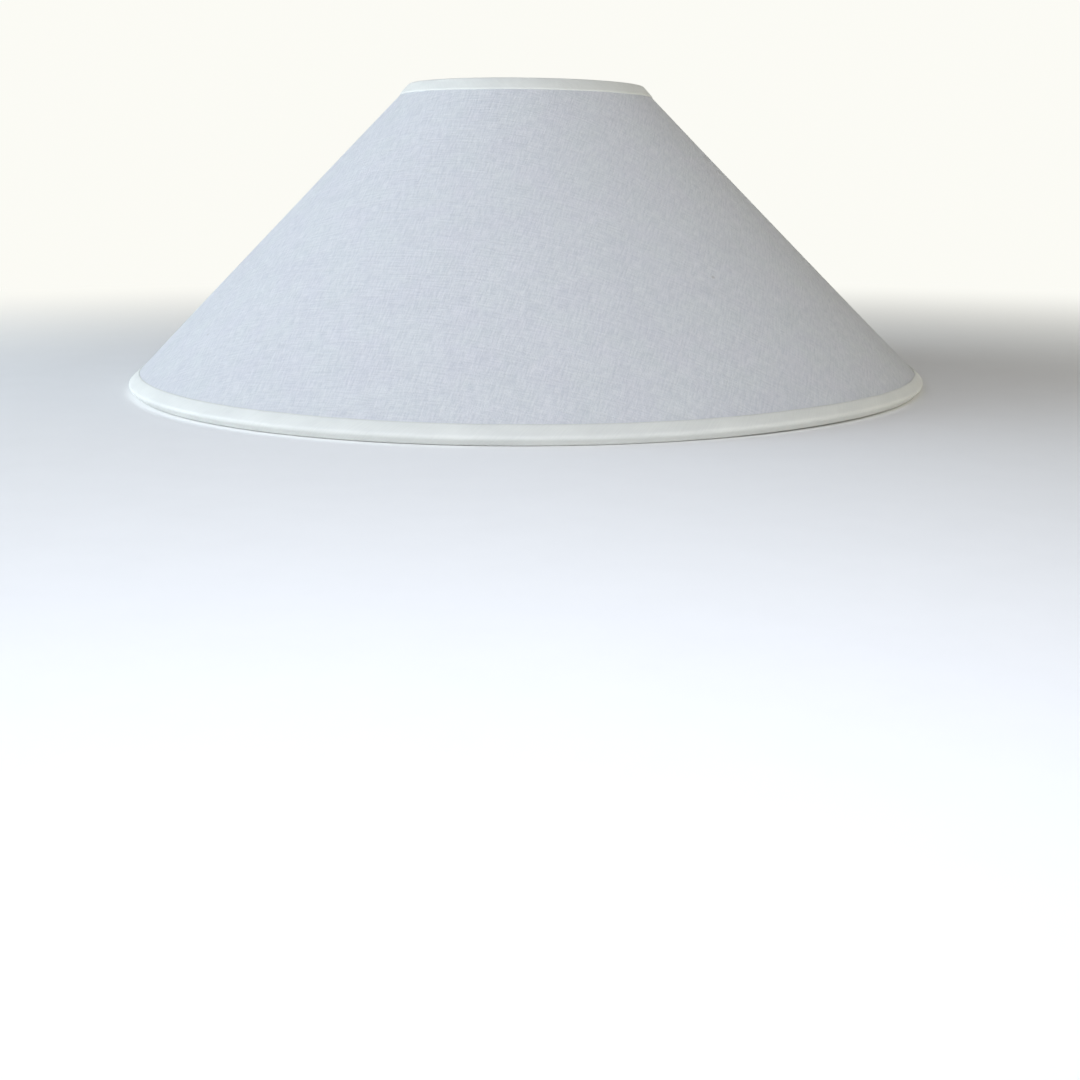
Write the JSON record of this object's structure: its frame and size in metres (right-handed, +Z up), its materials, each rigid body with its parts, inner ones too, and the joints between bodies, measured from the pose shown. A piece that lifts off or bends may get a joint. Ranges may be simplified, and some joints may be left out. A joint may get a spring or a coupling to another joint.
{
  "type": "lamp shade",
  "caption": "Shallow conical table-lamp shade in white laminated fabric, both edges bound with tape over wire rings, with a recessed ring fitter on wires.",
  "frame": {"origin": "centre of the bottom rim, on the plane that the shade stands on", "axes": "+Z up the cone's axis, from the wide rim to the narrow one; the cover's lap runs down the +Y side; +X completes the right-handed set"},
  "size_m": [0.3, 0.3, 0.1088],
  "materials": {
    "white_cotton": "matt plain weave",
    "trim_tape": "fine woven bias tape, slight sheen",
    "liner_plastic": "smooth, translucent",
    "coated_wire": "satin powder coat"
  },
  "bodies": {
    "root": {"cover_fabric": "white_cotton", "liner": "liner_plastic", "top_trim": "trim_tape", "bottom_trim": "trim_tape", "top_ring": "coated_wire", "bottom_ring": "coated_wire", "fitter_arm_1": "coated_wire", "fitter_arm_2": "coated_wire", "fitter_arm_3": "coated_wire", "fitter_ring": "coated_wire"}
  },
  "joints": []
}
